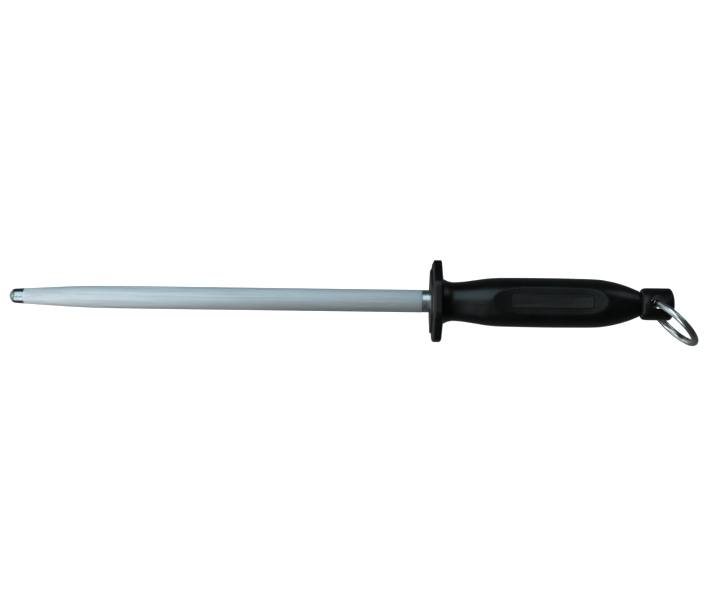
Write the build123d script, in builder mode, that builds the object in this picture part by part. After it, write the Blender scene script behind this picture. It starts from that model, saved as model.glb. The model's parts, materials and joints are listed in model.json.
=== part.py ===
"""Butcher's sharpening steel: a round steel rod with an eight-sided hand guard, a moulded grip with
two flats, and a swivelling end eye that carries a loose hanging ring.

Frame, in millimetres: X runs along the rod and grip, from the rod's nose at -X to the ring at +X.
The origin is on the rod's axis, in the plane of the guard's front face. +Z is up, square to the
grip's flats, and four of the guard's eight sides are square to Y and Z.
"""

from build123d import *

import os
from math import cos, radians, sin, sqrt

# ---- Driving dimensions -------------------------------------------------------------------------

# rod, ahead of the guard
rod_length = 250.0
rod_radius = 6.8
nose_flat_radius = 1.4
nose_radius = 4.3
nose_length = 2.6
cone_length = 22.0
cone_blend_length = 45.0
collar_length = 5.5
collar_radius = 6.6

# tang, inside the guard and the grip
shoulder_depth = 3.5
tang_radius = 5.0
tang_end = 98.0
tang_chamfer = 1.2
groove_width = 2.5
groove_depth = 0.5
groove_pitch = 9.0
groove_count = 7
first_groove = 24.0

# guard
guard_width = 48.0  # across two opposite sides
guard_corner = 6.0
bevel_depth = 1.8
bevel_width = 5.2
face_corner = 4.0
rim_thickness = 4.6
root_width = 27.4
root_corner = 10.0
guard_thickness = 7.9

# square key between the guard and the grip
key_side = 17.0
key_corner = 3.0
key_length = 2.5

# outline of the grip: distance behind the guard's front face, then radius
front_radius = 13.4
neck_x, neck_radius = 13.6, 11.6
swell_x, swell_radius = 26.7, 13.0
barrel_start_x, barrel_start_radius = 42.4, 14.6
barrel_middle_x, barrel_middle_radius = 68.4, 14.8
barrel_end_x, barrel_end_radius = 96.9, 14.5
shoulder_x, shoulder_radius = 107.7, 13.15
taper_x, taper_radius = 116.6, 10.75
grip_end, grip_end_radius = 124.5, 7.65

# flats on the upper and lower sides of the grip
flat_height = 12.35
flat_start, flat_end = 57.4, 89.0
front_run_out, front_run_out_radius = 24.0, 110.0
rear_run_out, rear_run_out_radius = 20.0, 92.0

# label plates in the flats
plate_middle = 72.1
plate_length = 47.8
plate_width = 7.9
plate_corner = 1.6
plate_thickness = 1.3
plate_top = flat_height + 0.35
plate_edge = 0.25

# swivel pin and its washers
pin_radius = 2.5
pin_clearance = 0.05
pin_head_radius = 4.4
pin_head_length = 2.5
pin_head_chamfer = 0.5
pin_end = 129.6
wall_x = 112.0
axial_play = 0.1
washer_hole_radius = 2.55
pin_washer_radius = 4.7
pin_washer_thickness = 0.8
thrust_washer_radius = 6.6
thrust_washer_thickness = 0.4

# eye
eye_front_radius = 7.8
eye_bevel = 1.25
eye_radius = 9.65
eye_round_length = 3.3
eye_length = 20.4
dome_length = 3.5
hole_x = 134.8
hole_radius = 4.15
hole_flare = 1.8
eye_lean = 7.0  # degrees, from +Z towards +Y

# ring, which hangs loose in the eye's hole
ring_radius = 16.5
wire_radius = 2.1
ring_reach = 15.1
ring_side_shift = 1.1
ring_lean = 7.0  # degrees, from +Z towards +Y
ring_swing = 43.6  # degrees, away from +X at rest

# ---- Planes and directions that several pieces share ----------------------------------------------


def across(x):
    """The plane square to the rod's axis at x, seen from the rod's nose."""
    return Plane(origin=(x, 0, 0), x_dir=(0, 1, 0), z_dir=(1, 0, 0))


eye_start = grip_end + 2 * axial_play + thrust_washer_thickness
eye_end = eye_start + eye_length
pin_washer_x = wall_x - axial_play - pin_washer_thickness
pin_head_x = pin_washer_x - pin_head_length

hole_centre = Vector(hole_x, 0, 0)
hole_axis = Vector(0, sin(radians(eye_lean)), cos(radians(eye_lean)))
hole_side = Vector(0, -cos(radians(eye_lean)), sin(radians(eye_lean)))
ring_up = Vector(0, sin(radians(ring_lean)), cos(radians(ring_lean)))
ring_side = Vector(0, -cos(radians(ring_lean)), sin(radians(ring_lean)))
ring_out = Vector(1, 0, 0) * cos(radians(ring_swing)) + ring_side * sin(radians(ring_swing))
ring_normal = ring_up.cross(ring_out)
ring_centre = hole_centre + ring_out * ring_reach - ring_normal * ring_side_shift

# ---- Steel rod: nose, cone, full rod, smooth collar and grooved tang ----------------------------

nose_end = -rod_length + nose_length
cone_end = nose_end + cone_length
cylinder_start = cone_end + cone_blend_length
cone_slope = (rod_radius - nose_radius) / (cone_length + cone_blend_length / 2)
cone_end_radius = nose_radius + cone_slope * cone_length

with BuildPart() as steel_rod:
    with BuildSketch() as rod_profile:
        with BuildLine():
            Line((-rod_length, 0), (-rod_length, nose_flat_radius))
            ThreePointArc(
                (-rod_length, nose_flat_radius),
                (-rod_length + nose_length * 0.4, nose_radius * 0.82),
                (nose_end, nose_radius),
            )
            Line((nose_end, nose_radius), (cone_end, cone_end_radius))
            TangentArc((cylinder_start, rod_radius), (cone_end, cone_end_radius), tangent=(-1, 0))
            Polyline(
                (cylinder_start, rod_radius),
                (-collar_length, rod_radius),
                (-collar_length, collar_radius),
                (shoulder_depth, collar_radius),
                (shoulder_depth, tang_radius),
                (tang_end - tang_chamfer, tang_radius),
                (tang_end, tang_radius - tang_chamfer),
                (tang_end, 0),
                (-rod_length, 0),
            )
        make_face()
    revolve(axis=Axis.X)
    with BuildSketch() as tang_grooves:
        with Locations([(first_groove + i * groove_pitch, tang_radius) for i in range(groove_count)]):
            Rectangle(groove_width, 2 * groove_depth)
    revolve(axis=Axis.X, mode=Mode.SUBTRACT)

# ---- Hand guard ---------------------------------------------------------------------------------

face_width = guard_width - 2 * bevel_width
rim_end = bevel_depth + rim_thickness


def eight_sides(x, width, corner):
    """A rounded eight-sided outline at x, width across two opposite sides."""
    with BuildSketch(across(x)) as outline:
        RegularPolygon(width / 2, 8, major_radius=False, rotation=22.5)
        fillet(outline.vertices(), corner)
    return outline.sketch


with BuildPart() as hand_guard:
    extrude(eight_sides(bevel_depth, guard_width, guard_corner), amount=rim_thickness)
    # bevelled front
    loft([eight_sides(0, face_width, face_corner), eight_sides(bevel_depth, guard_width, guard_corner)])
    # drafted back
    loft([
        eight_sides(rim_end, guard_width, guard_corner),
        eight_sides(guard_thickness, root_width, root_corner),
    ])
    # seats for the rod's shoulder, the tang and the grip's key
    with BuildSketch(across(0)):
        Circle(collar_radius)
    extrude(amount=shoulder_depth, mode=Mode.SUBTRACT)
    with BuildSketch(across(0)):
        Circle(tang_radius)
    extrude(amount=guard_thickness, mode=Mode.SUBTRACT)
    with BuildSketch(across(guard_thickness)):
        RectangleRounded(key_side, key_side, key_corner)
    extrude(amount=-key_length, mode=Mode.SUBTRACT)

# ---- Label plates, and the recess that each sits in ---------------------------------------------


def plate_block(side, mode=Mode.ADD):
    """The block of a label plate, on the grip's upper (side = 1) or lower (side = -1) flat."""
    with BuildSketch(Plane.XY.offset(side * plate_top)) as outline:
        with Locations((plate_middle, 0)):
            RectangleRounded(plate_length, plate_width, plate_corner)
    extrude(outline.sketch, amount=-side * plate_thickness, mode=mode)


with BuildPart() as label_plate_upper:
    plate_block(1)
    chamfer(label_plate_upper.faces().sort_by(Axis.Z)[-1].edges(), plate_edge)

with BuildPart() as label_plate_lower:
    plate_block(-1)
    chamfer(label_plate_lower.faces().sort_by(Axis.Z)[0].edges(), plate_edge)

# ---- Grip ---------------------------------------------------------------------------------------

front_rise = front_run_out_radius - sqrt(front_run_out_radius**2 - front_run_out**2)
rear_rise = rear_run_out_radius - sqrt(rear_run_out_radius**2 - rear_run_out**2)
front_tip = (flat_start - front_run_out, flat_height + front_rise)
rear_tip = (flat_end + rear_run_out, flat_height + rear_rise)
clear_height = 2 * flat_height

with BuildPart() as grip:
    with BuildSketch() as grip_profile:
        with BuildLine():
            ThreePointArc(
                (guard_thickness, front_radius),
                (guard_thickness + 0.36 * (neck_x - guard_thickness),
                 neck_radius + 0.36 * (front_radius - neck_radius)),
                (neck_x, neck_radius),
            )
            Spline(
                (neck_x, neck_radius),
                (swell_x, swell_radius),
                (barrel_start_x, barrel_start_radius),
                tangents=((1, 0.02), (1, 0.02)),
            )
            ThreePointArc(
                (barrel_start_x, barrel_start_radius),
                (barrel_middle_x, barrel_middle_radius),
                (barrel_end_x, barrel_end_radius),
            )
            Spline(
                (barrel_end_x, barrel_end_radius),
                (shoulder_x, shoulder_radius),
                (taper_x, taper_radius),
                (grip_end, grip_end_radius),
                tangents=((1, -0.02), (1, -0.42)),
            )
            Polyline(
                (grip_end, grip_end_radius),
                (grip_end, 0),
                (guard_thickness, 0),
                (guard_thickness, front_radius),
            )
        make_face()
    revolve(axis=Axis.X)
    # flats, which run out in an arc at each end
    with BuildSketch(Plane.XZ) as flat_cutter:
        with BuildLine():
            TangentArc((flat_start, flat_height), front_tip, tangent=(-1, 0))
            TangentArc((flat_end, flat_height), rear_tip, tangent=(1, 0))
            Line((flat_start, flat_height), (flat_end, flat_height))
            Polyline(front_tip, (front_tip[0], clear_height), (rear_tip[0], clear_height), rear_tip)
        make_face()
        mirror(about=Plane.XZ)
    extrude(amount=barrel_middle_radius, both=True, mode=Mode.SUBTRACT)
    plate_block(1, Mode.SUBTRACT)
    plate_block(-1, Mode.SUBTRACT)
    # key, tang bore and swivel pin bore
    with BuildSketch(across(guard_thickness)):
        RectangleRounded(key_side, key_side, key_corner)
    extrude(amount=-key_length)
    with BuildSketch(across(guard_thickness - key_length)):
        Circle(tang_radius)
    extrude(amount=wall_x - guard_thickness + key_length, mode=Mode.SUBTRACT)
    with BuildSketch(across(wall_x)):
        Circle(pin_radius + pin_clearance)
    extrude(amount=grip_end - wall_x, mode=Mode.SUBTRACT)

# ---- Swivel pin and its washers -----------------------------------------------------------------

with BuildPart() as swivel_pin:
    with BuildSketch(across(pin_head_x)):
        Circle(pin_head_radius)
    extrude(amount=pin_head_length)
    chamfer(swivel_pin.faces().sort_by(Axis.X)[0].edges(), pin_head_chamfer)
    with BuildSketch(across(pin_head_x)):
        Circle(pin_radius)
    extrude(amount=pin_end - pin_head_x)

with BuildPart() as pin_washer:
    with BuildSketch(across(pin_washer_x)):
        Circle(pin_washer_radius)
        Circle(washer_hole_radius, mode=Mode.SUBTRACT)
    extrude(amount=pin_washer_thickness)

with BuildPart() as thrust_washer:
    with BuildSketch(across(grip_end + axial_play)):
        Circle(thrust_washer_radius)
        Circle(washer_hole_radius, mode=Mode.SUBTRACT)
    extrude(amount=thrust_washer_thickness)

# ---- Eye ----------------------------------------------------------------------------------------

bevel_x = eye_start + eye_bevel
bevel_end_radius = eye_front_radius + eye_bevel
crown_x = eye_start + eye_round_length
dome_x = eye_end - dome_length
mouth_radius = hole_radius + hole_flare
mouth_y = eye_radius + 0.3
flare_y = mouth_y - hole_flare
clear_y = 1.2 * eye_radius

with BuildPart() as swivel_eye:
    with BuildSketch() as eye_profile:
        with BuildLine():
            Polyline((dome_x, 0), (eye_start, 0), (eye_start, eye_front_radius), (bevel_x, bevel_end_radius))
            TangentArc((crown_x, eye_radius), (bevel_x, bevel_end_radius), tangent=(-1, 0))
            Line((crown_x, eye_radius), (dome_x, eye_radius))
            EllipticalCenterArc((dome_x, 0), dome_length, eye_radius, start_angle=0, arc_size=90)
            Line((dome_x, 0), (eye_end, 0))
        make_face()
    revolve(axis=Axis.X)
    # ring hole, flared at both mouths: half of its section, spun about the hole's axis
    with BuildSketch(Plane(origin=hole_centre, x_dir=(1, 0, 0), z_dir=-hole_side)) as hole_section:
        with BuildLine():
            lower_arc = TangentArc(
                (hole_radius, -flare_y), (mouth_radius, -mouth_y), tangent=(0, -1)
            )
            upper_arc = TangentArc((hole_radius, flare_y), (mouth_radius, mouth_y), tangent=(0, 1))
            Line(lower_arc @ 0, upper_arc @ 0)
            Polyline(
                upper_arc @ 1,
                (mouth_radius, clear_y),
                (0, clear_y),
                (0, -clear_y),
                (mouth_radius, -clear_y),
                lower_arc @ 1,
            )
        make_face()
    revolve(axis=Axis(hole_centre, hole_axis), mode=Mode.SUBTRACT)
    # seat for the pin
    with BuildSketch(across(eye_start)):
        Circle(pin_radius)
    extrude(amount=pin_end - eye_start, mode=Mode.SUBTRACT)

# ---- Ring ---------------------------------------------------------------------------------------

with BuildPart() as hanging_ring:
    with BuildSketch(Plane(origin=ring_centre + ring_out * ring_radius, x_dir=ring_out, z_dir=hole_axis)):
        Circle(wire_radius)
    revolve(axis=Axis(ring_centre, ring_normal))

# ---- Export -------------------------------------------------------------------------------------

os.makedirs("parts", exist_ok=True)

steel_rod.part.label = "steel_rod"
export_step(steel_rod.part, "parts/steel_rod.step")
hand_guard.part.label = "hand_guard"
export_step(hand_guard.part, "parts/hand_guard.step")
grip.part.label = "grip"
export_step(grip.part, "parts/grip.step")
label_plate_upper.part.label = "label_plate_upper"
export_step(label_plate_upper.part, "parts/label_plate_upper.step")
label_plate_lower.part.label = "label_plate_lower"
export_step(label_plate_lower.part, "parts/label_plate_lower.step")
swivel_pin.part.label = "swivel_pin"
export_step(swivel_pin.part, "parts/swivel_pin.step")
pin_washer.part.label = "pin_washer"
export_step(pin_washer.part, "parts/pin_washer.step")
thrust_washer.part.label = "thrust_washer"
export_step(thrust_washer.part, "parts/thrust_washer.step")
swivel_eye.part.label = "swivel_eye"
export_step(swivel_eye.part, "parts/swivel_eye.step")
hanging_ring.part.label = "hanging_ring"
export_step(hanging_ring.part, "parts/hanging_ring.step")
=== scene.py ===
"""The looks of a knife sharpening steel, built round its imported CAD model, in metres in the model's frame.

+X runs from the rod's nose along the grip to the ring, and the origin is in the plane of the guard's
front face. Lengths below that end in _MM, and all outlines, are in millimetres.
"""

import json
import math
import random

import bmesh
import bpy
from mathutils import Matrix, Vector


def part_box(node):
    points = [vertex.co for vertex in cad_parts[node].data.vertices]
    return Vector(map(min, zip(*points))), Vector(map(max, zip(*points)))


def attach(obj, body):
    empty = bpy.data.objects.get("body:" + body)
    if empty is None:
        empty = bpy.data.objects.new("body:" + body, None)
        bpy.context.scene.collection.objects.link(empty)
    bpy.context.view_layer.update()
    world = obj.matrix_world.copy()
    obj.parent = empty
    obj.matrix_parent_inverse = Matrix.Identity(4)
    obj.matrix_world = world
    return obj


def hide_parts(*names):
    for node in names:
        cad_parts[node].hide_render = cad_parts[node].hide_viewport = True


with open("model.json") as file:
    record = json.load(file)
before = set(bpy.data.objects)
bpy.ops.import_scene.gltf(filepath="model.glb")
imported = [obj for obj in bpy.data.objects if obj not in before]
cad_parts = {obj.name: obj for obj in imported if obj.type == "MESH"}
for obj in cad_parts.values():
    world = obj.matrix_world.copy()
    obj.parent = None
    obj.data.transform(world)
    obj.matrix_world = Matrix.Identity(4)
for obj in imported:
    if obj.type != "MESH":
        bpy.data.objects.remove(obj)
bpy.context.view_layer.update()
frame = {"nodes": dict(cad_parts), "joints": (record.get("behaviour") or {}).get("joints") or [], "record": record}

MM = 0.001
mounts = {mount["name"]: mount for mount in frame["record"]["mounts"]}
joints = {joint["name"]: joint for joint in frame["joints"]}


# ---- Curves and meshes --------------------------------------------------------------------------


def smooth_curve(keys):
    """A function of x that passes smoothly through the (x, value) keys without overshoot."""
    xs = [key[0] for key in keys]
    ys = [key[1] for key in keys]
    steps = [(ys[i + 1] - ys[i]) / (xs[i + 1] - xs[i]) for i in range(len(keys) - 1)]
    slopes = [steps[0]]
    for before, after in zip(steps, steps[1:]):
        slopes.append(0.0 if before * after <= 0 else 2 * before * after / (before + after))
    slopes.append(steps[-1])

    def value(x):
        x = min(max(x, xs[0]), xs[-1])
        i = max(k for k in range(len(steps)) if x >= xs[k])
        width = xs[i + 1] - xs[i]
        t = (x - xs[i]) / width
        start = ys[i] * (1 + 2 * t) * (1 - t) ** 2 + slopes[i] * width * t * (1 - t) ** 2
        end = ys[i + 1] * t * t * (3 - 2 * t) + slopes[i + 1] * width * t * t * (t - 1)
        return start + end

    return value


def spread(start, end, count):
    """count values from start to end, both included."""
    return [start + (end - start) * i / (count - 1) for i in range(count)]


def arc(centre, radii, degrees, count):
    """Points of an elliptical arc, from and to the angles in degrees, counted from the first axis."""
    return [
        (centre[0] + radii[0] * math.cos(math.radians(a)), centre[1] + radii[1] * math.sin(math.radians(a)))
        for a in spread(degrees[0], degrees[1], count)
    ]


def circle_directions(count):
    """count unit directions round the X axis, as (y, z)."""
    return [(math.cos(2 * math.pi * i / count), math.sin(2 * math.pi * i / count)) for i in range(count)]


def ring_at(x, radii, directions):
    """A ring of points round the X axis at x, all in millimetres, one radius for each direction."""
    return [Vector((x, r * y, r * z)) * MM for r, (y, z) in zip(radii, directions)]


def round_ring(x, radius, directions):
    """A ring of points of one radius."""
    return ring_at(x, [radius] * len(directions), directions)


def skin(name, rings, joined=False, gap_slots=None):
    """A mesh object over rings of equally many points. joined closes the last ring onto the first, and
    otherwise each end is closed by a fan. gap_slots gives the material index of each gap."""
    count = len(rings[0])
    points = [point for ring in rings for point in ring]
    faces = []
    slots = []
    gaps = len(rings) if joined else len(rings) - 1
    for gap in range(gaps):
        low = gap * count
        high = ((gap + 1) % len(rings)) * count
        for i in range(count):
            j = (i + 1) % count
            faces.append((low + i, low + j, high + j, high + i))
            slots.append(gap_slots[gap] if gap_slots else 0)
    if not joined:
        for start, turned in ((0, True), ((len(rings) - 1) * count, False)):
            middle = sum(points[start:start + count], Vector()) / count
            points.append(middle)
            pole = len(points) - 1
            for i in range(count):
                j = (i + 1) % count
                corner = (start + j, start + i) if turned else (start + i, start + j)
                faces.append((*corner, pole))
                slots.append(gap_slots[0 if turned else -1] if gap_slots else 0)
    mesh = bpy.data.meshes.new(name)
    mesh.from_pydata(points, [], faces)
    mesh.polygons.foreach_set("material_index", slots)
    return add_object(name, mesh)


def add_object(name, mesh):
    """Links a mesh to the scene as an object of that name, with its faces turned outwards."""
    work = bmesh.new()
    work.from_mesh(mesh)
    bmesh.ops.recalc_face_normals(work, faces=work.faces)
    work.to_mesh(mesh)
    work.free()
    made = bpy.data.objects.new(name, mesh)
    bpy.context.scene.collection.objects.link(made)
    return made


def smooth(piece, sharp_degrees):
    """Shades smooth, with edges sharper than the angle left crisp."""
    piece.data.polygons.foreach_set("use_smooth", [True] * len(piece.data.polygons))
    piece.data.set_sharp_from_angle(angle=math.radians(sharp_degrees))
    piece.data.update()


def cut(piece, cutter):
    """Takes the cutter's shape out of the piece, and the cutter out of the scene."""
    step = piece.modifiers.new("cut", "BOOLEAN")
    step.operation = "DIFFERENCE"
    step.solver = "EXACT"
    step.object = cutter
    result = piece.evaluated_get(bpy.context.evaluated_depsgraph_get())
    mesh = bpy.data.meshes.new_from_object(result)
    piece.modifiers.clear()
    old = piece.data
    piece.data = mesh
    bpy.data.meshes.remove(old)
    bpy.data.objects.remove(cutter)


def rounded_octagon(half, corner, directions):
    """The distance from the centre to an octagon's outline with rounded corners, along each direction.
    Four of its sides are square to Y and Z, and half is the distance to a side."""
    turn = math.radians(22.5)
    to_corner = (half - corner) / math.cos(turn)
    side_half = (half - corner) * math.tan(turn)
    distances = []
    for y, z in directions:
        # from the middle of the nearest side
        t = abs((math.atan2(z, y) + turn) % (2 * turn) - turn)
        if half * math.tan(t) <= side_half:
            distances.append(half / math.cos(t))
        else:
            off = to_corner * math.sin(turn - t)
            distances.append(to_corner * math.cos(turn - t) + math.sqrt(corner ** 2 - off ** 2))
    return distances


def rounded_rectangle(half_x, half_y, corner, per_corner=8):
    """Points round a rectangle with rounded corners, centred on zero."""
    corners = ((1, 1, 0), (-1, 1, 90), (-1, -1, 180), (1, -1, 270))
    points = []
    for x, y, turn in corners:
        centre = (x * (half_x - corner), y * (half_y - corner))
        points += arc(centre, (corner, corner), (turn, turn + 90), per_corner)
    return points


# ---- Node materials -----------------------------------------------------------------------------


class Finish:
    """A Principled material, with helpers that add procedural nodes in millimetres."""

    def __init__(self, name, **values):
        self.material = bpy.data.materials.new(name)
        self.material.use_nodes = True
        self.tree = self.material.node_tree
        self.shader = self.tree.nodes["Principled BSDF"]
        for socket, value in values.items():
            self.shader.inputs[socket.replace("_", " ")].default_value = value
        self.place = self.tree.nodes.new("ShaderNodeTexCoord").outputs["Object"]

    def link(self, output, socket):
        self.tree.links.new(output, self.shader.inputs[socket])

    def scaled(self, x, y, z):
        """The position in millimetres, times these factors."""
        node = self.tree.nodes.new("ShaderNodeMapping")
        node.inputs["Scale"].default_value = (x / MM, y / MM, z / MM)
        self.tree.links.new(self.place, node.inputs["Vector"])
        return node.outputs["Vector"]

    def noise(self, factors, detail=3.0, roughness=0.5):
        """Noise whose grain is one over the factors, in millimetres."""
        node = self.tree.nodes.new("ShaderNodeTexNoise")
        node.inputs["Scale"].default_value = 1.0
        node.inputs["Detail"].default_value = detail
        node.inputs["Roughness"].default_value = roughness
        self.tree.links.new(self.scaled(*factors), node.inputs["Vector"])
        return node.outputs["Fac"]

    def ramp(self, factor, *stops):
        """Colours or greys at places along the factor."""
        node = self.tree.nodes.new("ShaderNodeValToRGB")
        elements = node.color_ramp.elements
        while len(elements) < len(stops):
            elements.new(0.5)
        for element, (place, colour) in zip(elements, stops):
            element.position = place
            element.color = colour if isinstance(colour, tuple) else (colour, colour, colour, 1)
        self.tree.links.new(factor, node.inputs["Fac"])
        return node.outputs["Color"]

    def math(self, operation, first, second):
        node = self.tree.nodes.new("ShaderNodeMath")
        node.operation = operation
        for socket, value in zip(node.inputs, (first, second)):
            if isinstance(value, (int, float)):
                socket.default_value = value
            else:
                self.tree.links.new(value, socket)
        return node.outputs["Value"]

    def mix(self, factor, first, second, blend="MIX"):
        node = self.tree.nodes.new("ShaderNodeMix")
        node.data_type = "RGBA"
        node.blend_type = blend
        for socket, value in ((node.inputs[0], factor), (node.inputs[6], first), (node.inputs[7], second)):
            if isinstance(value, (int, float, tuple)):
                socket.default_value = value
            else:
                self.tree.links.new(value, socket)
        return node.outputs[2]

    def attribute(self, name):
        node = self.tree.nodes.new("ShaderNodeAttribute")
        node.attribute_name = name
        return node.outputs["Fac"]

    def round_the_rod(self):
        """The direction round the X axis, across which the lengthwise cut scatters light."""
        node = self.tree.nodes.new("ShaderNodeTangent")
        node.direction_type = "RADIAL"
        node.axis = "X"
        return node.outputs["Tangent"]

    def bump(self, height, depth_mm):
        node = self.tree.nodes.new("ShaderNodeBump")
        node.inputs["Distance"].default_value = depth_mm * MM
        self.tree.links.new(height, node.inputs["Height"])
        self.link(node.outputs["Normal"], "Normal")


def cut_steel():
    """Hard-chromed steel with a fine lengthwise cut: streaks along X, and painted shade that darkens the cut's
    grooves.
    """
    finish = Finish("cut_steel", Metallic=1.0, Anisotropic=0.8)
    broad = finish.noise((0.012, 0.35, 0.35), detail=3.0)
    streak = finish.noise((0.010, 1.5, 1.5), detail=4.0, roughness=0.6)
    fine = finish.noise((0.03, 4.2, 4.2), detail=3.0)
    tone = finish.ramp(broad, (0.3, (0.80, 0.82, 0.825, 1)), (0.7, (0.96, 0.97, 0.975, 1)))
    toned = finish.mix(1.0, tone, finish.ramp(streak, (0.36, 0.82), (0.64, 1.0)), "MULTIPLY")
    lined = finish.mix(1.0, toned, finish.ramp(fine, (0.32, 0.91), (0.68, 1.0)), "MULTIPLY")
    # painted shade: the colour turns grey where the cut is deepest, in its grooves
    painted_valley_shade = finish.math("MULTIPLY", finish.attribute("painted_valley_shade"), 0.40)
    finish.link(finish.mix(painted_valley_shade, lined, (0.38, 0.40, 0.41, 1)), "Base Color")
    finish.link(finish.ramp(fine, (0.3, 0.50), (0.7, 0.62)), "Roughness")
    finish.link(finish.round_the_rod(), "Tangent")
    finish.bump(finish.noise((0.25, 9.0, 9.0), detail=2.0), 0.012)
    return finish.material


def polished_steel(name, dark, light, roughness):
    """The rod's ground nose and collar: bright, with faint turning marks round the rod."""
    finish = Finish(name, Metallic=1.0)
    marks = finish.noise((7.0, 0.12, 0.12), detail=3.0)
    smudges = finish.noise((0.35, 0.35, 0.35), detail=2.0)
    finish.link(finish.ramp(smudges, (0.3, (*dark, 1)), (0.7, (*light, 1))), "Base Color")
    finish.link(finish.ramp(marks, (0.3, roughness - 0.04), (0.7, roughness + 0.04)), "Roughness")
    finish.bump(marks, 0.0010)
    return finish.material


def ring_steel():
    """Nickel-plated wire: drawing marks, tiny pits and slightly dull patches."""
    finish = Finish("ring_steel", Metallic=1.0)
    patches = finish.noise((0.22, 0.22, 0.22), detail=3.0)
    specks = finish.noise((2.6, 2.6, 2.6), detail=2.0)
    tone = finish.ramp(patches, (0.3, (0.50, 0.54, 0.54, 1)), (0.7, (0.70, 0.74, 0.73, 1)))
    dots = finish.ramp(specks, (0.34, 0.62), (0.44, 1.0))
    finish.link(finish.mix(1.0, tone, dots, "MULTIPLY"), "Base Color")
    finish.link(finish.ramp(patches, (0.3, 0.30), (0.7, 0.19)), "Roughness")
    finish.bump(specks, 0.02)
    return finish.material


def zinc_steel():
    """Plain washers and the swivel pin: turned steel."""
    finish = Finish("zinc_steel", Metallic=1.0)
    marks = finish.noise((5.0, 0.8, 0.8), detail=3.0)
    tone = finish.ramp(marks, (0.3, (0.42, 0.43, 0.43, 1)), (0.7, (0.56, 0.57, 0.57, 1)))
    finish.link(tone, "Base Color")
    finish.link(finish.ramp(marks, (0.3, 0.28), (0.7, 0.40)), "Roughness")
    finish.bump(marks, 0.006)
    return finish.material


GRAIN_MM = 0.28
GRAIN_DEPTH_MM = 0.012


def black_plastic(name, dark, light, roughness, specular):
    """Moulded polypropylene: fine grain, cloudy gloss, faint scuffs along and across."""
    finish = Finish(name, IOR=1.49, Specular_IOR_Level=specular)
    clouds = finish.noise((0.09, 0.16, 0.16), detail=3.0)
    grain = finish.noise((1 / GRAIN_MM,) * 3, detail=2.0)
    scuffs = finish.noise((0.35, 5.0, 3.5), detail=4.0, roughness=0.65)
    worn = finish.ramp(scuffs, (0.60, 0.0), (0.74, 1.0))
    tone = finish.ramp(clouds, (0.3, (*dark, 1)), (0.7, (*light, 1)))
    rubbed = tuple(channel * 1.9 for channel in light) + (1,)
    finish.link(finish.mix(finish.math("MULTIPLY", worn, 0.35), tone, rubbed), "Base Color")
    gloss = finish.ramp(clouds, (0.3, roughness - 0.05), (0.7, roughness + 0.05))
    finish.link(finish.mix(finish.math("MULTIPLY", worn, 0.4), gloss, (0.62, 0.62, 0.62, 1)), "Roughness")
    finish.bump(grain, GRAIN_DEPTH_MM)
    return finish.material


steel_cut = cut_steel()
steel_collar = polished_steel("collar_steel", (0.50, 0.54, 0.55), (0.62, 0.66, 0.67), 0.28)
# painted shade: the nose's copy of the polished steel is darker than the collar's, to offset the brighter light at
# the nose end
steel_nose = polished_steel("nose_steel", (0.33, 0.36, 0.37), (0.42, 0.45, 0.46), 0.22)
steel_ring = ring_steel()
steel_zinc = zinc_steel()
grip_plastic = black_plastic("grip_plastic", (0.0022, 0.0024, 0.0025), (0.0042, 0.0046, 0.0048), 0.31, 0.40)
guard_plastic = black_plastic("guard_plastic", (0.0024, 0.0026, 0.0028), (0.0046, 0.005, 0.0054), 0.34, 0.37)
eye_plastic = black_plastic("eye_plastic", (0.0022, 0.0024, 0.0027), (0.0042, 0.0046, 0.0052), 0.33, 0.35)
washer_plastic = black_plastic("washer_plastic", (0.005, 0.005, 0.005), (0.009, 0.009, 0.009), 0.55, 0.5)
plate_plastic = black_plastic("plate_plastic", (0.006, 0.006, 0.0045), (0.01, 0.01, 0.0078), 0.44, 0.42)


def finish_piece(piece, materials, body, replaced, sharp_degrees=32):
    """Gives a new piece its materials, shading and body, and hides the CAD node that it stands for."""
    for material in materials:
        piece.data.materials.append(material)
    smooth(piece, sharp_degrees)
    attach(piece, body)
    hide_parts(replaced)


# ---- Rod ----------------------------------------------------------------------------------------

rod_low, rod_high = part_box("steel_rod")
ROD_TIP_MM = rod_low.x / MM
ROD_RADIUS_MM = rod_high.y / MM
TANG_END_MM = rod_high.x / MM
TANG_RADIUS_MM = 5.0
SHOULDER_MM = 3.5  # where the full rod ends and the tang starts, inside the guard
TANG_CHAMFER_MM = 1.2
COLLAR_LENGTH_MM = 4.8
POLISHED_NOSE_MM = 8.9
RIB_COUNT = 72
RIB_SECTION = (0.0, 0.0, 0.0, 0.55, 1.0, 0.55)  # depth of the cut across one rib and groove
CUT_DEPTH_MM = 0.075
COLLAR_RADIUS_MM = ROD_RADIUS_MM - CUT_DEPTH_MM
CUT, COLLAR, NOSE = 0, 1, 2  # the rod's materials

# distance from the nose's tip, then radius
NOSE_OUTLINE = ((0.0, 1.0), (0.25, 1.6), (0.9, 2.7), (1.7, 3.6), (2.5, 4.15), (3.2, 4.33))
CONE_OUTLINE = ((2.6, 4.3), (8.9, 4.66), (24.0, 5.47), (38.0, 6.24), (54.0, 6.68), (80.0, ROD_RADIUS_MM))


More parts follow.
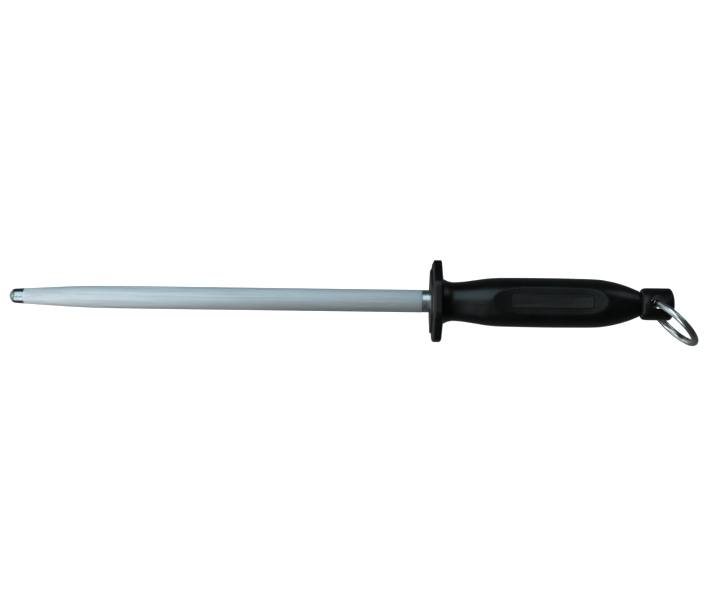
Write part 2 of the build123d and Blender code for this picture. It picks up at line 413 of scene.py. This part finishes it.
def make_rod():
    """The rod: polished nose, cone and barrel with ribs of uneven depth, polished collar and tang."""
    rng = random.Random(7)
    count = RIB_COUNT * len(RIB_SECTION)
    directions = circle_directions(count)
    depths = [CUT_DEPTH_MM * rng.uniform(0.45, 1.35) for _ in range(RIB_COUNT)]
    pattern = [depth * share for depth in depths for share in RIB_SECTION]
    radius = smooth_curve(CONE_OUTLINE)
    rings = []
    cuts = []
    slots = []

    def add(x, r, share, slot):
        """One ring at x, with this share of the full cut."""
        rings.append(ring_at(x, [r - share * depth for depth in pattern], directions))
        cuts.append(share)
        slots.append(slot)

    nose = smooth_curve(NOSE_OUTLINE)
    for back in spread(0.0, 3.0, 16):
        add(ROD_TIP_MM + back, nose(back), 0.0, NOSE)
    for back in spread(3.4, POLISHED_NOSE_MM - 0.5, 5):
        add(ROD_TIP_MM + back, radius(back), 0.0, NOSE)
    add(ROD_TIP_MM + POLISHED_NOSE_MM, radius(POLISHED_NOSE_MM), 0.0, CUT)
    add(ROD_TIP_MM + POLISHED_NOSE_MM + 0.7, radius(POLISHED_NOSE_MM + 0.7), 0.9, CUT)
    for back in spread(POLISHED_NOSE_MM + 3, 86.0, 22):
        add(ROD_TIP_MM + back, radius(back), 1.0, CUT)
    for x in spread(ROD_TIP_MM + 98.0, -COLLAR_LENGTH_MM - 1.0, 14):
        add(x, ROD_RADIUS_MM, 1.0, CUT)
    add(-COLLAR_LENGTH_MM - 0.35, ROD_RADIUS_MM - 0.02, 0.6, CUT)
    add(-COLLAR_LENGTH_MM, COLLAR_RADIUS_MM, 0.0, COLLAR)
    for x in (-COLLAR_LENGTH_MM + 0.2, -COLLAR_LENGTH_MM + 0.5, -2.4, -0.6, 0.4, 2.8, 3.2):
        add(x, COLLAR_RADIUS_MM - 0.02, 0.0, COLLAR)
    add(SHOULDER_MM, COLLAR_RADIUS_MM - 0.2, 0.0, COLLAR)
    for x in (SHOULDER_MM, SHOULDER_MM + 0.5, TANG_END_MM - TANG_CHAMFER_MM):
        add(x, TANG_RADIUS_MM, 0.0, COLLAR)
    add(TANG_END_MM, TANG_RADIUS_MM - TANG_CHAMFER_MM, 0.0, COLLAR)
    piece = skin("rod", rings, gap_slots=slots)
    # how deep the cut is at each point, which the steel turns into painted shade in its grooves
    painted_valley_shade = piece.data.attributes.new("painted_valley_shade", "FLOAT", "POINT")
    deepest = max(pattern)
    values = [share * depth / deepest for share in cuts for depth in pattern] + [0.0, 0.0]
    painted_valley_shade.data.foreach_set("value", values)
    materials = (steel_cut, steel_collar, steel_nose)
    finish_piece(piece, materials, "handle", "steel_rod", sharp_degrees=50)


make_rod()

# ---- Hand guard ---------------------------------------------------------------------------------

guard_low, guard_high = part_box("hand_guard")
GUARD_HALF_MM = guard_high.y / MM
GUARD_BACK_MM = guard_high.x / MM
GUARD_CORNER_MM = 6.0
GUARD_RIM_MM = (4.6, 5.9)  # the rim's middle, and where its back edge starts to round
GUARD_BACK_EDGE_MM = 0.7  # rounding of the rim's back edge

# octagons as place, half width and corner radius: the front panel with its upright edge, then the back
GUARD_PANEL = (
    (0.0, 12.0, 6.0), (0.0, 18.3, 3.6), (0.04, 18.6, 3.8), (0.16, 18.78, 4.0),
    (0.32, 18.82, 4.0), (0.82, 18.86, 4.0), (0.92, 18.92, 4.0), (0.97, 19.1, 4.1),
)
GUARD_BACK = ((6.72, 23.0, 6.0), (7.0, 20.5, 7.0), (7.35, 17.5, 8.5), (7.62, 15.2, 11.0))
# control points of the bevel from the panel's foot to the rim, as place and half width
GUARD_BEVEL = ((0.97, 19.1), (1.12, 23.0), (1.55, GUARD_HALF_MM), (2.9, GUARD_HALF_MM))


def bezier(controls, t):
    """The point at share t of a cubic curve with four control points."""
    shares = ((1 - t) ** 3, 3 * t * (1 - t) ** 2, 3 * t * t * (1 - t), t ** 3)
    return tuple(sum(share * point[k] for share, point in zip(shares, controls)) for k in (0, 1))


def make_guard():
    """The hand guard, wound from its bore over the front panel, bevel, rim and back to the bore again."""
    directions = circle_directions(320)
    half = GUARD_HALF_MM
    bore = COLLAR_RADIUS_MM + 0.02
    front = [(SHOULDER_MM, bore), (0.35, bore), (0.1, bore + 0.1), (0.0, bore + 0.45)]
    outlines = list(GUARD_PANEL)
    for t in spread(0.0, 1.0, 14)[1:]:
        x, side = bezier(GUARD_BEVEL, t)
        outlines.append((x, side, GUARD_CORNER_MM - 0.38 * (half - side)))
    rim_middle, rim_end = GUARD_RIM_MM
    outlines.append((rim_middle, half, GUARD_CORNER_MM))
    edge = GUARD_BACK_EDGE_MM
    for x, side in arc((rim_end, half - edge), (edge, edge), (90, 10), 7):
        outlines.append((x, side, GUARD_CORNER_MM - (half - side)))
    outlines += GUARD_BACK
    back = [(GUARD_BACK_MM - 0.06, 13.75), (GUARD_BACK_MM, 13.3)]
    back += [(GUARD_BACK_MM, TANG_RADIUS_MM), (SHOULDER_MM, TANG_RADIUS_MM)]
    rings = [round_ring(x, r, directions) for x, r in front]
    for x, side, corner in outlines:
        rings.append(ring_at(x, rounded_octagon(side, corner, directions), directions))
    rings += [round_ring(x, r, directions) for x, r in back]
    piece = skin("guard", rings, joined=True)
    finish_piece(piece, (guard_plastic,), "handle", "hand_guard")


make_guard()

# ---- Grip ---------------------------------------------------------------------------------------

GRIP_END_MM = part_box("grip")[1].x / MM
plate_low, plate_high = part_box("label_plate_upper")
PLATE_TOP_MM = plate_high.z / MM
FLAT_HEIGHT_MM = PLATE_TOP_MM - 0.35
FLAT_START_MM, FLAT_END_MM = 57.4, 89.0
FRONT_RUN_OUT_RADIUS_MM, REAR_RUN_OUT_RADIUS_MM = 110.0, 92.0
EDGE_SOFTNESS_MM = 0.30
PLATE_CORNER_MM = 1.6
POCKET_GAP_MM = 0.16  # round a label plate
PART_LINE_MM = 0.035  # height of the mould's part line
WALL_MM = 112.0
PIN_BORE_MM = 2.55

# distance behind the guard's front face, then radius
GRIP_OUTLINE = (
    (GUARD_BACK_MM, 13.45), (9.1, 12.8), (11.0, 12.05), (13.6, 11.6), (18.2, 11.85), (26.7, 13.0),
    (34.9, 14.15), (42.4, 14.6), (68.4, 14.8), (92.4, 14.6), (99.6, 14.35), (107.7, 13.15),
    (116.6, 10.75), (GRIP_END_MM, 7.65),
)


def flat_height(x):
    """The flat's height above the grip's axis: level in the middle, then rising in an arc at each end."""
    before = (FLAT_START_MM - x, FRONT_RUN_OUT_RADIUS_MM)
    after = (x - FLAT_END_MM, REAR_RUN_OUT_RADIUS_MM)
    beyond, radius = max(before, after)
    if beyond <= 0:
        return FLAT_HEIGHT_MM
    if beyond > 30:
        return 2 * FLAT_HEIGHT_MM
    return FLAT_HEIGHT_MM + radius - math.sqrt(radius ** 2 - beyond ** 2)


def softer_min(first, second, width):
    """The smaller of two values, rounded off where they are nearly equal."""
    near = max(width - abs(first - second), 0.0)
    return min(first, second) - near * near / (4 * width)


def plate_cutter(name, side, half_x, half_y, corner, bottom, top):
    """A rounded block over a label plate's place, on the upper (side = 1) or lower (side = -1) flat."""
    middle = (plate_low.x + plate_high.x) / 2
    outline = rounded_rectangle(half_x, half_y, corner)
    rings = [[Vector((middle + x * MM, y * MM, side * z * MM)) for x, y in outline] for z in (bottom, top)]
    return skin(name, rings)


def grip_directions():
    """Angles in degrees round the grip, with close steps at the part line on each side, where the mould's
    two halves met."""
    near = [side + step for side in (0, 180) for step in (-0.9, -0.45, 0.0, 0.45, 0.9)]
    even = [360 * i / 300 for i in range(300)]
    apart = [a for a in even if min(abs(a - b) for b in (0, 180, 360)) > 1.0]
    return sorted(apart + [a % 360 for a in near])


def make_grip():
    """The grip's moulding, its flats with the plates' pockets, its part line and its bores."""
    angles = grip_directions()
    directions = [(math.cos(math.radians(a)), math.sin(math.radians(a))) for a in angles]
    lines = [math.exp(-(min(a % 180, 180 - a % 180) / 0.35) ** 2) for a in angles]
    radius = smooth_curve(GRIP_OUTLINE)
    rings = []
    places = spread(GUARD_BACK_MM, 14.5, 14) + spread(15.5, 33.0, 18) + spread(33.6, 58.0, 42)
    places += spread(59.5, 88.0, 20) + spread(88.8, 108.0, 32) + spread(109.0, GRIP_END_MM - 0.5, 16)
    for x in places:
        radii = []
        for (y, z), line in zip(directions, lines):
            flat = flat_height(x) / max(abs(z), 0.05)
            radii.append(softer_min(radius(x), flat, EDGE_SOFTNESS_MM) + PART_LINE_MM * line)
        rings.append(ring_at(x, radii, directions))
    end_radius = radius(GRIP_END_MM)
    inside = [(GRIP_END_MM - 0.15, end_radius - 0.1), (GRIP_END_MM, end_radius - 0.5)]
    inside += [(GRIP_END_MM, PIN_BORE_MM), (WALL_MM, PIN_BORE_MM)]
    inside += [(WALL_MM, TANG_RADIUS_MM), (GUARD_BACK_MM, TANG_RADIUS_MM)]
    rings += [round_ring(x, r, directions) for x, r in inside]
    piece = skin("grip_body", rings, joined=True)
    half_x = (plate_high.x - plate_low.x) / 2 / MM + POCKET_GAP_MM
    half_y = plate_high.y / MM + POCKET_GAP_MM
    corner = PLATE_CORNER_MM + POCKET_GAP_MM
    for side in (1, -1):
        cutter = plate_cutter("pocket", side, half_x, half_y, corner, plate_low.z / MM, 2 * FLAT_HEIGHT_MM)
        cut(piece, cutter)
    finish_piece(piece, (grip_plastic,), "handle", "grip")


make_grip()

# ---- Label plates -------------------------------------------------------------------------------

# a row of raised slanted bars over a thin rib, where the real plate has its maker's lettering
BAR_COUNT = 14
BAR_PITCH_MM = 1.72
BAR_WIDTH_MM = 0.82
BAR_HEIGHT_MM = 3.5
BAR_MIDDLE_MM = 0.55
BAR_LEAN_MM = 0.95
BAR_RISE_MM = 0.28
RIB_SIDES_MM = (-2.25, -1.8)
RIB_RISE_MM = 0.2
RIM_MM = 0.75
FLOOR_DROP_MM = 0.16


def raised_bar(points, corners, bottom, top, side, middle):
    """Adds the points of a raised bar over a four-cornered outline, a little narrower at its top, and
    returns its faces."""
    centre_x = sum(x for x, y in corners) / 4
    centre_y = sum(y for x, y in corners) / 4
    start = len(points)
    for z, share in ((bottom, 1.0), (bottom + 0.7 * (top - bottom), 0.94), (top, 0.80)):
        end_share = 1 - (1 - share) * 0.3
        for x, y in corners:
            narrowed = centre_x + (x - centre_x) * share
            shortened = centre_y + (y - centre_y) * end_share
            points.append(Vector((middle + narrowed * MM, shortened * MM, side * z * MM)))
    faces = [(start + 3, start + 2, start + 1, start), (start + 8, start + 9, start + 10, start + 11)]
    for level in (0, 4):
        for i in range(4):
            j = (i + 1) % 4
            low = start + level
            faces.append((low + i, low + j, low + 4 + j, low + 4 + i))
    return faces


def plate_bars(floor, side, middle):
    """Points and faces of the bars and the rib that stand on a plate's sunk floor."""
    points = []
    faces = []
    low_y = BAR_MIDDLE_MM - BAR_HEIGHT_MM / 2
    high_y = BAR_MIDDLE_MM + BAR_HEIGHT_MM / 2
    lean = BAR_LEAN_MM / 2
    for i in range(BAR_COUNT):
        x = (i - (BAR_COUNT - 1) / 2) * BAR_PITCH_MM
        left = x - BAR_WIDTH_MM / 2
        right = x + BAR_WIDTH_MM / 2
        corners = [(left - lean, low_y), (right - lean, low_y)]
        corners += [(right + lean, high_y), (left + lean, high_y)]
        faces += raised_bar(points, corners, floor - 0.1, floor + BAR_RISE_MM, side, middle)
    end = BAR_COUNT * BAR_PITCH_MM / 2 - 2.0
    lower, upper = RIB_SIDES_MM
    rib = [(-end, lower), (end, lower), (end, upper), (-end, upper)]
    faces += raised_bar(points, rib, floor - 0.1, floor + RIB_RISE_MM, side, middle)
    return points, faces


def make_plate(name, node, side):
    """A label plate with a rounded rim and a sunk floor, on the upper (side = 1) or lower (-1) flat."""
    low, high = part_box(node)
    middle = (low.x + high.x) / 2
    half_x = (high.x - low.x) / 2 / MM
    half_y = high.y / MM
    outer = max(abs(low.z), abs(high.z)) / MM
    inner = min(abs(low.z), abs(high.z)) / MM
    floor = outer - FLOOR_DROP_MM
    # inset from the outline and height, from the plate's underside over its rim to the sunk floor
    section = [
        (0.0, inner), (0.0, outer - 0.22), (0.05, outer - 0.08), (0.16, outer - 0.01),
        (0.28, outer), (RIM_MM - 0.12, outer), (RIM_MM, outer - 0.03),
        (RIM_MM + 0.12, floor + 0.02), (RIM_MM + 0.24, floor),
    ]
    rings = []
    for inset, z in section:
        outline = rounded_rectangle(half_x - inset, half_y - inset, PLATE_CORNER_MM - inset, 10)
        rings.append([Vector((middle + x * MM, y * MM, side * z * MM)) for x, y in outline])
    piece = skin(name, rings)
    points, faces = plate_bars(floor, side, middle)
    bars = bpy.data.meshes.new(name + "_bars")
    bars.from_pydata(points, [], faces)
    joined = bmesh.new()
    joined.from_mesh(piece.data)
    joined.from_mesh(bars)
    bmesh.ops.recalc_face_normals(joined, faces=joined.faces)
    joined.to_mesh(piece.data)
    joined.free()
    bpy.data.meshes.remove(bars)
    finish_piece(piece, (plate_plastic,), "handle", node)


make_plate("plate_upper", "label_plate_upper", 1)
make_plate("plate_lower", "label_plate_lower", -1)

# ---- Eye ----------------------------------------------------------------------------------------

eye_low, eye_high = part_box("swivel_eye")
EYE_START_MM = eye_low.x / MM
EYE_END_MM = eye_high.x / MM
EYE_RADIUS_MM = eye_high.y / MM
PIN_RADIUS_MM = 2.5
PIN_END_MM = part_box("swivel_pin")[1].x / MM
HOLE_RADIUS_MM = 4.15
HOLE_FLARE_MM = 1.8
EYE_DOME_MM = 3.6

# distance behind the eye's front face, then radius
EYE_FRONT_OUTLINE = (
    (0.0, 7.6), (0.06, 7.8), (0.35, 8.35), (0.85, 8.92),
    (1.45, 9.3), (2.15, 9.5), (2.95, 9.56), (3.12, 9.58),
)

hole_centre = Vector(joints["ring_swing"]["pos_m"])
hole_axis = Vector(joints["ring_swing"]["axis"]).normalized()


def hole_cutter():
    """A trumpet-mouthed cutter along the hole's axis."""
    mouth = HOLE_RADIUS_MM + HOLE_FLARE_MM
    flare = arc((mouth, EYE_RADIUS_MM + 0.3 - HOLE_FLARE_MM), (HOLE_FLARE_MM, HOLE_FLARE_MM), (95, 180), 12)
    half = [(EYE_RADIUS_MM + 2.5, mouth)] + [(h, q) for q, h in flare]
    both = half + [(-h, q) for h, q in reversed(half)]
    directions = circle_directions(96)
    cutter = skin("hole", [round_ring(x, q, directions) for x, q in both])
    turn = hole_axis.to_track_quat("X", "Z").to_matrix().to_4x4()
    cutter.data.transform(Matrix.Translation(hole_centre) @ turn)
    return cutter


def make_eye():
    """The eye, wound from its pin seat over the waist, the barrel and the domed end, with its cross hole."""
    start = EYE_START_MM
    outline = [(PIN_END_MM, 0.004), (PIN_END_MM, PIN_RADIUS_MM), (start, PIN_RADIUS_MM)]
    outline += [(start + along, q) for along, q in EYE_FRONT_OUTLINE]
    outline += [(start + 3.28, EYE_RADIUS_MM - 0.02), (start + 3.5, EYE_RADIUS_MM)]
    outline.append((EYE_END_MM - 8, EYE_RADIUS_MM))
    outline += arc((EYE_END_MM - EYE_DOME_MM, 0.0), (EYE_DOME_MM, EYE_RADIUS_MM), (90, 0.4), 26)
    directions = circle_directions(160)
    piece = skin("eye", [round_ring(x, q, directions) for x, q in outline], joined=True)
    cut(piece, hole_cutter())
    finish_piece(piece, (eye_plastic,), "eye", "swivel_eye")


make_eye()

# ---- Ring ---------------------------------------------------------------------------------------

WIRE_RADIUS_MM = 2.1
RING_RADIUS_MM = 16.5
RING_STEPS = 220
WIRE_STEPS = 48
SEAM_DEGREES = 205.0  # from the outermost point to where the wire's two ends meet
SEAM_DEPTH_MM = 0.16


def make_ring():
    """The ring: bent wire, so very slightly uneven, with a fine seam where its ends meet."""
    centre = Vector(mounts["ring_inside"]["pos_m"])
    normal = Vector(mounts["ring_inside"]["axis"]).normalized()
    outwards = centre - hole_centre
    outwards = (outwards - normal * outwards.dot(normal)).normalized()
    upwards = normal.cross(outwards)
    rng = random.Random(3)
    waves = [(k, rng.uniform(-1, 1), rng.uniform(0, 2 * math.pi)) for k in (2, 3, 5)]
    section = circle_directions(WIRE_STEPS)
    near = [SEAM_DEGREES + step for step in (-0.9, -0.35, -0.05, 0.05, 0.35, 0.9)]
    rings = []
    for a in sorted([360 * i / RING_STEPS for i in range(RING_STEPS)] + near):
        along = outwards * math.cos(math.radians(a)) + upwards * math.sin(math.radians(a))
        wobble = sum(0.012 * size * math.sin(k * math.radians(a) + phase) for k, size, phase in waves)
        seam = max(1 - abs(a - SEAM_DEGREES) / 0.5, 0.0)
        wire = (WIRE_RADIUS_MM - SEAM_DEPTH_MM * seam) * MM
        middle = centre + along * (RING_RADIUS_MM + wobble) * MM
        rings.append([middle + (along * out + normal * up) * wire for out, up in section])
    piece = skin("ring", rings, joined=True)
    finish_piece(piece, (steel_ring,), "ring", "hanging_ring")


make_ring()

# ---- Carried-over CAD nodes ---------------------------------------------------------------------

carried_nodes = {"swivel_pin": steel_zinc, "pin_washer": steel_zinc, "thrust_washer": washer_plastic}
for node, material in carried_nodes.items():
    carried = frame["nodes"][node]
    carried.data.materials.clear()
    carried.data.materials.append(material)

# ---- Camera -------------------------------------------------------------------------------------

CAMERA_DISTANCE = 1.062
CAMERA_TILT_DEGREES = 4.1  # from straight above towards -Y
CAMERA_ROLL_DEGREES = 0.77
LENS_MM = 90.5
AIM_FROM_ORIGIN = (-0.0445, -0.002225)  # along the picture's width and height

tilt = math.radians(CAMERA_TILT_DEGREES)
roll = math.radians(CAMERA_ROLL_DEGREES)
towards = Vector((0, -math.sin(tilt), math.cos(tilt)))
level_right = Vector((1, 0, 0))
level_up = towards.cross(level_right)
right = level_right * math.cos(roll) + level_up * math.sin(roll)
up = level_up * math.cos(roll) - level_right * math.sin(roll)
camera = bpy.data.objects.new("camera", bpy.data.cameras.new("camera"))
camera.data.lens = LENS_MM
camera.data.sensor_width = 36.0
camera.data.clip_start = 0.05
camera.data.clip_end = 60.0
place = right * AIM_FROM_ORIGIN[0] + up * AIM_FROM_ORIGIN[1] + towards * CAMERA_DISTANCE
camera.matrix_world = Matrix.Translation(place) @ Matrix((right, up, towards)).transposed().to_4x4()
bpy.context.scene.collection.objects.link(camera)
bpy.context.scene.camera = camera

# ---- Floor, backdrop and lights -----------------------------------------------------------------


def plain_material(name, colour, glow):
    """A plain stage material: matt, with some light of its own so that shadows stay pale."""
    material = bpy.data.materials.new(name)
    material.use_nodes = True
    shader = material.node_tree.nodes["Principled BSDF"]
    shader.inputs["Base Color"].default_value = (*colour, 1)
    shader.inputs["Roughness"].default_value = 0.9
    shader.inputs["Specular IOR Level"].default_value = 0.0
    shader.inputs["Emission Color"].default_value = (1, 1, 1, 1)
    shader.inputs["Emission Strength"].default_value = glow
    return material


def stage_object(name, mesh, material):
    """An object of the stage: the camera sees it, and the steel doesn't mirror it."""
    made = bpy.data.objects.new(name, mesh)
    mesh.materials.append(material)
    made.visible_glossy = False
    made.visible_diffuse = False
    bpy.context.scene.collection.objects.link(made)
    return made


FLOOR_HALF = 9.0
FLOOR_GAP = 0.0002
BACKDROP_RADIUS = 8.5
TIP_RADIUS = 4.3 * MM
GUARD_EDGE = 0.004  # where the guard's lower side meets the floor


def make_floor():
    """A floor that the guard's lower side and the rod's tip rest on, as when the steel lies down."""
    rest_height = guard_low.z
    slope = math.atan2(abs(rest_height) - TIP_RADIUS, abs(rod_low.x) + GUARD_EDGE)
    corners = [(x * FLOOR_HALF, y * FLOOR_HALF, 0) for x, y in ((-1, -1), (1, -1), (1, 1), (-1, 1))]
    mesh = bpy.data.meshes.new("floor")
    mesh.from_pydata(corners, [], [(0, 1, 2, 3)])
    middle = Matrix.Translation((GUARD_EDGE, 0, rest_height - FLOOR_GAP))
    mesh.transform(middle @ Matrix.Rotation(slope, 4, "Y"))
    stage_object("floor", mesh, plain_material("floor", (0.85, 0.85, 0.85), 0.98))


def make_backdrop():
    """A white shell round the scene, which blocks no light."""
    mesh = bpy.data.meshes.new("backdrop")
    work = bmesh.new()
    bmesh.ops.create_icosphere(work, subdivisions=5, radius=BACKDROP_RADIUS)
    work.to_mesh(mesh)
    work.free()
    shell = stage_object("backdrop", mesh, plain_material("backdrop", (0, 0, 0), 0.98))
    shell.visible_shadow = False
    shell.visible_transmission = False


make_floor()
make_backdrop()


LIGHT_DISTANCE = 1.2


def softbox(name, outward, aim_x, length, width, radiance, colour):
    """A soft light that faces the place aim_x on the steel's axis, from the outward direction. Its length
    is level."""
    data = bpy.data.lights.new(name, "AREA")
    data.shape = "RECTANGLE"
    data.size = length
    data.size_y = width
    data.color = colour
    data.energy = radiance * length * width * math.pi
    light = bpy.data.objects.new(name, data)
    across = level_up.cross(outward).normalized()
    if abs(outward.dot(level_right)) < 0.5:
        across = level_right
    facing = Matrix((across, outward.cross(across), outward)).transposed().to_4x4()
    light.matrix_world = Matrix.Translation(outward * LIGHT_DISTANCE + Vector((aim_x, 0, 0))) @ facing
    light.visible_camera = False
    bpy.context.scene.collection.objects.link(light)


def over(degrees):
    """A direction square to the steel, at an angle from the camera's side towards the picture's top."""
    a = math.radians(degrees)
    return towards * math.cos(a) + level_up * math.sin(a)


def between(degrees, first, second):
    """A direction turned by the angle from the first direction towards the second."""
    a = math.radians(degrees)
    return (first * math.cos(a) + second * math.sin(a)).normalized()


KEY_COLOUR = (0.62, 0.86, 1.0)
LOW_COLOUR = (0.85, 0.95, 1.0)
low_left = between(58, towards, -level_right)
far_right = between(38, over(65), level_right)
softbox("key", over(38), -0.33, 0.84, 1.04, 2.1, KEY_COLOUR)
softbox("key_right", over(47), 0.325, 0.35, 0.99, 0.15, KEY_COLOUR)
softbox("over_rod", over(2), -0.56, 0.42, 0.66, 1.9, (0.92, 0.97, 1.0))
softbox("fill", over(-48), -0.61, 0.52, 1.20, 2.1, (0.88, 0.95, 1.0))
softbox("nose_side", low_left, 0.0, 0.60, 0.45, 1.0, LOW_COLOUR)
softbox("ring_side", far_right, 0.14, 0.55, 0.55, 1.0, LOW_COLOUR)

# how bright the studio is from straight below (0) to straight above (1)
STUDIO_COLOURS = (
    (0.0, (0.12, 0.125, 0.125)), (0.40, (0.06, 0.064, 0.064)), (0.5, (0.028, 0.030, 0.030)),
    (0.92, (0.036, 0.038, 0.037)), (0.985, (0.135, 0.14, 0.105)),
)
NOSE_END_COLOUR = (0.90, 0.97, 1.0)
NOSE_END_SHARE = 0.8


def make_studio():
    """The room that the steel mirrors: dark, a little lighter above and below, and pale beyond the nose."""
    world = bpy.data.worlds.new("studio")
    bpy.context.scene.world = world
    world.use_nodes = True
    nodes = world.node_tree.nodes
    links = world.node_tree.links
    split = nodes.new("ShaderNodeSeparateXYZ")
    links.new(nodes.new("ShaderNodeTexCoord").outputs["Generated"], split.inputs["Vector"])
    height = nodes.new("ShaderNodeMapRange")
    height.inputs["From Min"].default_value = -1.0
    links.new(split.outputs["Z"], height.inputs["Value"])
    gradient = nodes.new("ShaderNodeValToRGB")
    elements = gradient.color_ramp.elements
    while len(elements) < len(STUDIO_COLOURS):
        elements.new(1.0)
    for element, (position, colour) in zip(elements, STUDIO_COLOURS):
        element.position = position
        element.color = (*colour, 1)
    links.new(height.outputs["Result"], gradient.inputs["Fac"])
    nose_end = nodes.new("ShaderNodeMapRange")
    nose_end.inputs["From Min"].default_value = -0.45
    nose_end.inputs["From Max"].default_value = -0.95
    nose_end.inputs["To Max"].default_value = NOSE_END_SHARE
    links.new(split.outputs["X"], nose_end.inputs["Value"])
    total = nodes.new("ShaderNodeMix")
    total.data_type = "RGBA"
    total.inputs[7].default_value = (*NOSE_END_COLOUR, 1)
    links.new(nose_end.outputs["Result"], total.inputs[0])
    links.new(gradient.outputs["Color"], total.inputs[6])
    links.new(total.outputs[2], nodes["Background"].inputs["Color"])


make_studio()
bpy.context.scene.view_settings.view_transform = "Standard"
